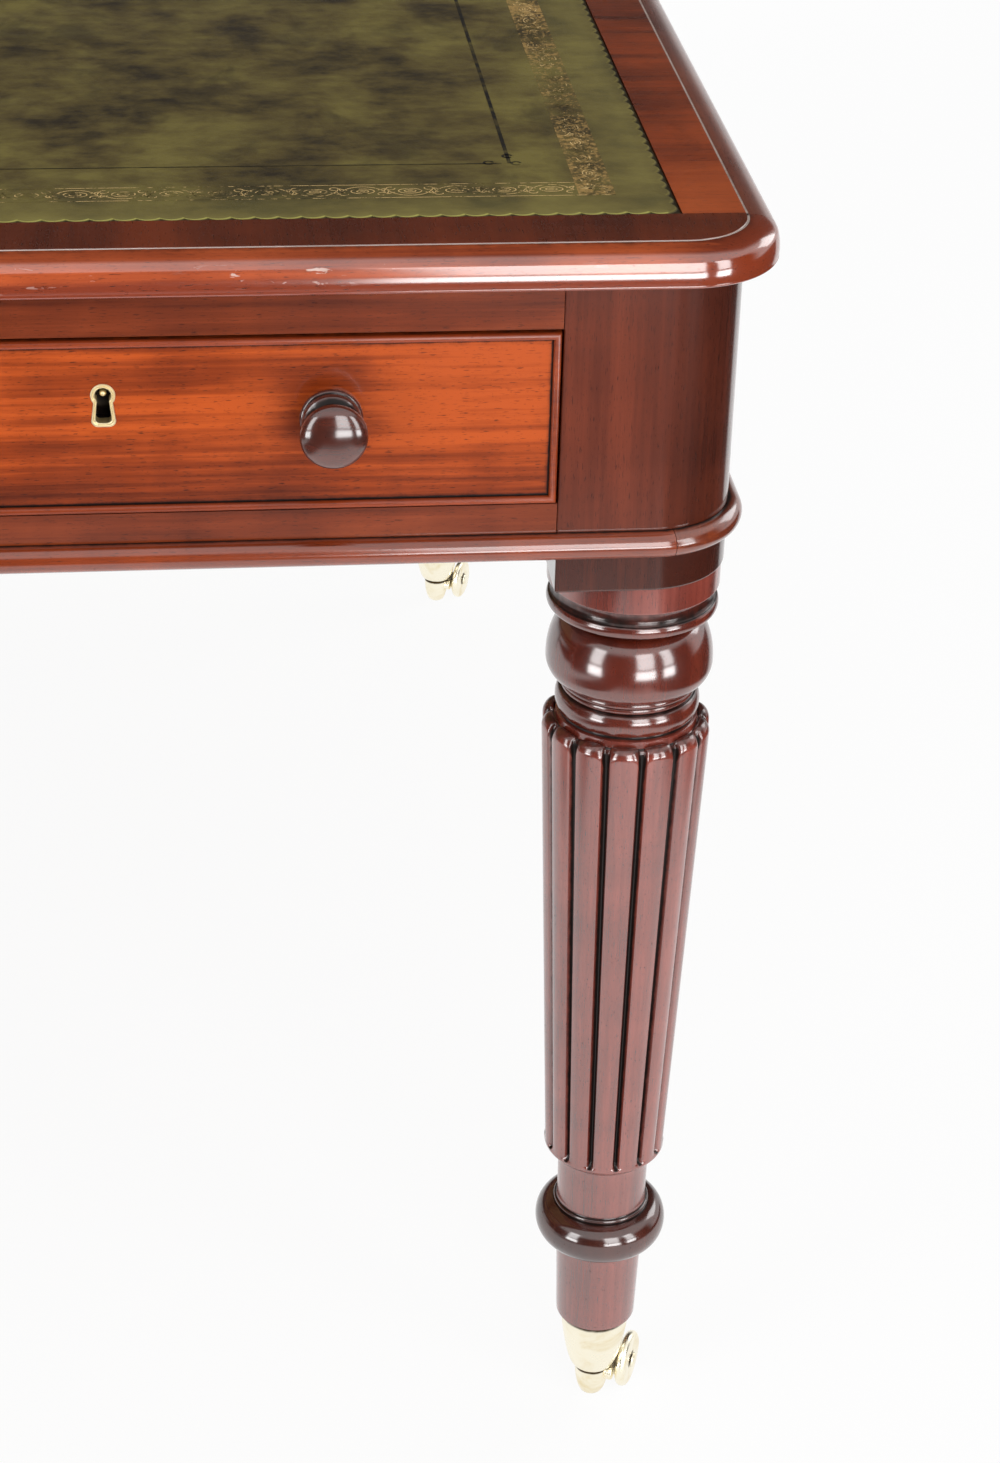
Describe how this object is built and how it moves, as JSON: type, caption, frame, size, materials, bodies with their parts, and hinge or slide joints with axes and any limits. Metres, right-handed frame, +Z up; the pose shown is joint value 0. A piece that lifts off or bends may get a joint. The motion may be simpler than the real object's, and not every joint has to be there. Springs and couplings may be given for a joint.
{
  "type": "partners writing table",
  "caption": "Mahogany partners writing table with a tooled leather top, drawers on both long sides, turned knobs and reeded tapering legs on brass castors.",
  "frame": {"origin": "on the floor under the middle of the top", "axes": "+X along the table to the right as seen from the front, +Y from the front to the back, +Z up"},
  "size_m": [1.603, 1.2136, 0.765],
  "materials": {
    "frame_mahogany": "French polished, dark red-brown",
    "top_mahogany": "French polished, crossbanded",
    "drawer_mahogany": "French polished, lighter orange-red",
    "knob_mahogany": "polished, turned",
    "drawer_lining": "planed, unpolished",
    "green_leather": "worn skiver with gold tooling",
    "brass": "polished"
  },
  "bodies": {
    "frame": {"leg_front_right": "frame_mahogany", "castor_cup_front_right": "brass", "leg_back_right": "frame_mahogany", "castor_cup_back_right": "brass", "leg_back_left": "frame_mahogany", "castor_cup_back_left": "brass", "leg_front_left": "frame_mahogany", "castor_cup_front_left": "brass", "front_top_rail": "frame_mahogany", "front_bottom_rail": "frame_mahogany", "back_top_rail": "frame_mahogany", "back_bottom_rail": "frame_mahogany", "left_apron": "frame_mahogany", "left_partition": "frame_mahogany", "left_runner": "drawer_lining", "right_apron": "frame_mahogany", "right_partition": "frame_mahogany", "right_runner": "drawer_lining", "front_bead": "frame_mahogany", "top_border_front": "top_mahogany", "back_bead": "frame_mahogany", "top_border_back": "top_mahogany", "left_bead": "frame_mahogany", "top_border_left": "top_mahogany", "right_bead": "frame_mahogany", "top_border_right": "top_mahogany", "top_panel": "top_mahogany", "leather_skiver": "green_leather"},
    "front_left_drawer": {"front_left_drawer_face": "drawer_mahogany", "front_left_drawer_tray": "drawer_lining", "front_left_drawer_knob_left": "knob_mahogany", "front_left_drawer_knob_right": "knob_mahogany"},
    "front_middle_drawer": {"front_middle_drawer_face": "drawer_mahogany", "front_middle_drawer_tray": "drawer_lining", "front_middle_drawer_knob_left": "knob_mahogany", "front_middle_drawer_knob_right": "knob_mahogany"},
    "front_right_drawer": {"front_right_drawer_face": "drawer_mahogany", "front_right_drawer_tray": "drawer_lining", "front_right_drawer_knob_left": "knob_mahogany", "front_right_drawer_knob_right": "knob_mahogany"},
    "back_left_drawer": {"back_left_drawer_face": "drawer_mahogany", "back_left_drawer_tray": "drawer_lining", "back_left_drawer_knob_left": "knob_mahogany", "back_left_drawer_knob_right": "knob_mahogany"},
    "back_middle_drawer": {"back_middle_drawer_face": "drawer_mahogany", "back_middle_drawer_tray": "drawer_lining", "back_middle_drawer_knob_left": "knob_mahogany", "back_middle_drawer_knob_right": "knob_mahogany"},
    "back_right_drawer": {"back_right_drawer_face": "drawer_mahogany", "back_right_drawer_tray": "drawer_lining", "back_right_drawer_knob_left": "knob_mahogany", "back_right_drawer_knob_right": "knob_mahogany"},
    "castor_front_right": {"castor_horn_front_right": "brass"},
    "castor_wheel_front_right_body": {"castor_wheel_front_right": "brass"},
    "castor_back_right": {"castor_horn_back_right": "brass"},
    "castor_wheel_back_right_body": {"castor_wheel_back_right": "brass"},
    "castor_back_left": {"castor_horn_back_left": "brass"},
    "castor_wheel_back_left_body": {"castor_wheel_back_left": "brass"},
    "castor_front_left": {"castor_horn_front_left": "brass"},
    "castor_wheel_front_left_body": {"castor_wheel_front_left": "brass"}
  },
  "joints": [
    {"name": "front_left_drawer_slide", "type": "slide", "parent": "frame", "child": "front_left_drawer", "axis": [0, -1, 0], "range_m": [0, 0.38]},
    {"name": "front_middle_drawer_slide", "type": "slide", "parent": "frame", "child": "front_middle_drawer", "axis": [0, -1, 0], "range_m": [0, 0.38]},
    {"name": "front_right_drawer_slide", "type": "slide", "parent": "frame", "child": "front_right_drawer", "axis": [0, -1, 0], "range_m": [0, 0.38]},
    {"name": "back_left_drawer_slide", "type": "slide", "parent": "frame", "child": "back_left_drawer", "axis": [0, 1, 0], "range_m": [0, 0.38]},
    {"name": "back_middle_drawer_slide", "type": "slide", "parent": "frame", "child": "back_middle_drawer", "axis": [0, 1, 0], "range_m": [0, 0.38]},
    {"name": "back_right_drawer_slide", "type": "slide", "parent": "frame", "child": "back_right_drawer", "axis": [0, 1, 0], "range_m": [0, 0.38]},
    {"name": "castor_swivel_front_right", "type": "hinge", "parent": "frame", "child": "castor_front_right", "pos_m": [0.7405, -0.5315, 0.0226], "axis": [0, 0, 1], "continuous": true},
    {"name": "castor_roll_front_right", "type": "hinge", "parent": "castor_front_right", "child": "castor_wheel_front_right_body", "pos_m": [0.76329, -0.52426, 0.0172], "axis": [0.8988, -0.4384, 0], "continuous": true},
    {"name": "castor_swivel_back_right", "type": "hinge", "parent": "frame", "child": "castor_back_right", "pos_m": [0.7405, 0.5315, 0.0226], "axis": [0, 0, 1], "continuous": true},
    {"name": "castor_roll_back_right", "type": "hinge", "parent": "castor_back_right", "child": "castor_wheel_back_right_body", "pos_m": [0.76329, 0.53874, 0.0172], "axis": [0.8988, -0.4384, 0], "continuous": true},
    {"name": "castor_swivel_back_left", "type": "hinge", "parent": "frame", "child": "castor_back_left", "pos_m": [-0.7405, 0.5315, 0.0226], "axis": [0, 0, 1], "continuous": true},
    {"name": "castor_roll_back_left", "type": "hinge", "parent": "castor_back_left", "child": "castor_wheel_back_left_body", "pos_m": [-0.71771, 0.53874, 0.0172], "axis": [0.8988, -0.4384, 0], "continuous": true},
    {"name": "castor_swivel_front_left", "type": "hinge", "parent": "frame", "child": "castor_front_left", "pos_m": [-0.7405, -0.5315, 0.0226], "axis": [0, 0, 1], "continuous": true},
    {"name": "castor_roll_front_left", "type": "hinge", "parent": "castor_front_left", "child": "castor_wheel_front_left_body", "pos_m": [-0.71771, -0.52426, 0.0172], "axis": [0.8988, -0.4384, 0], "continuous": true}
  ]
}
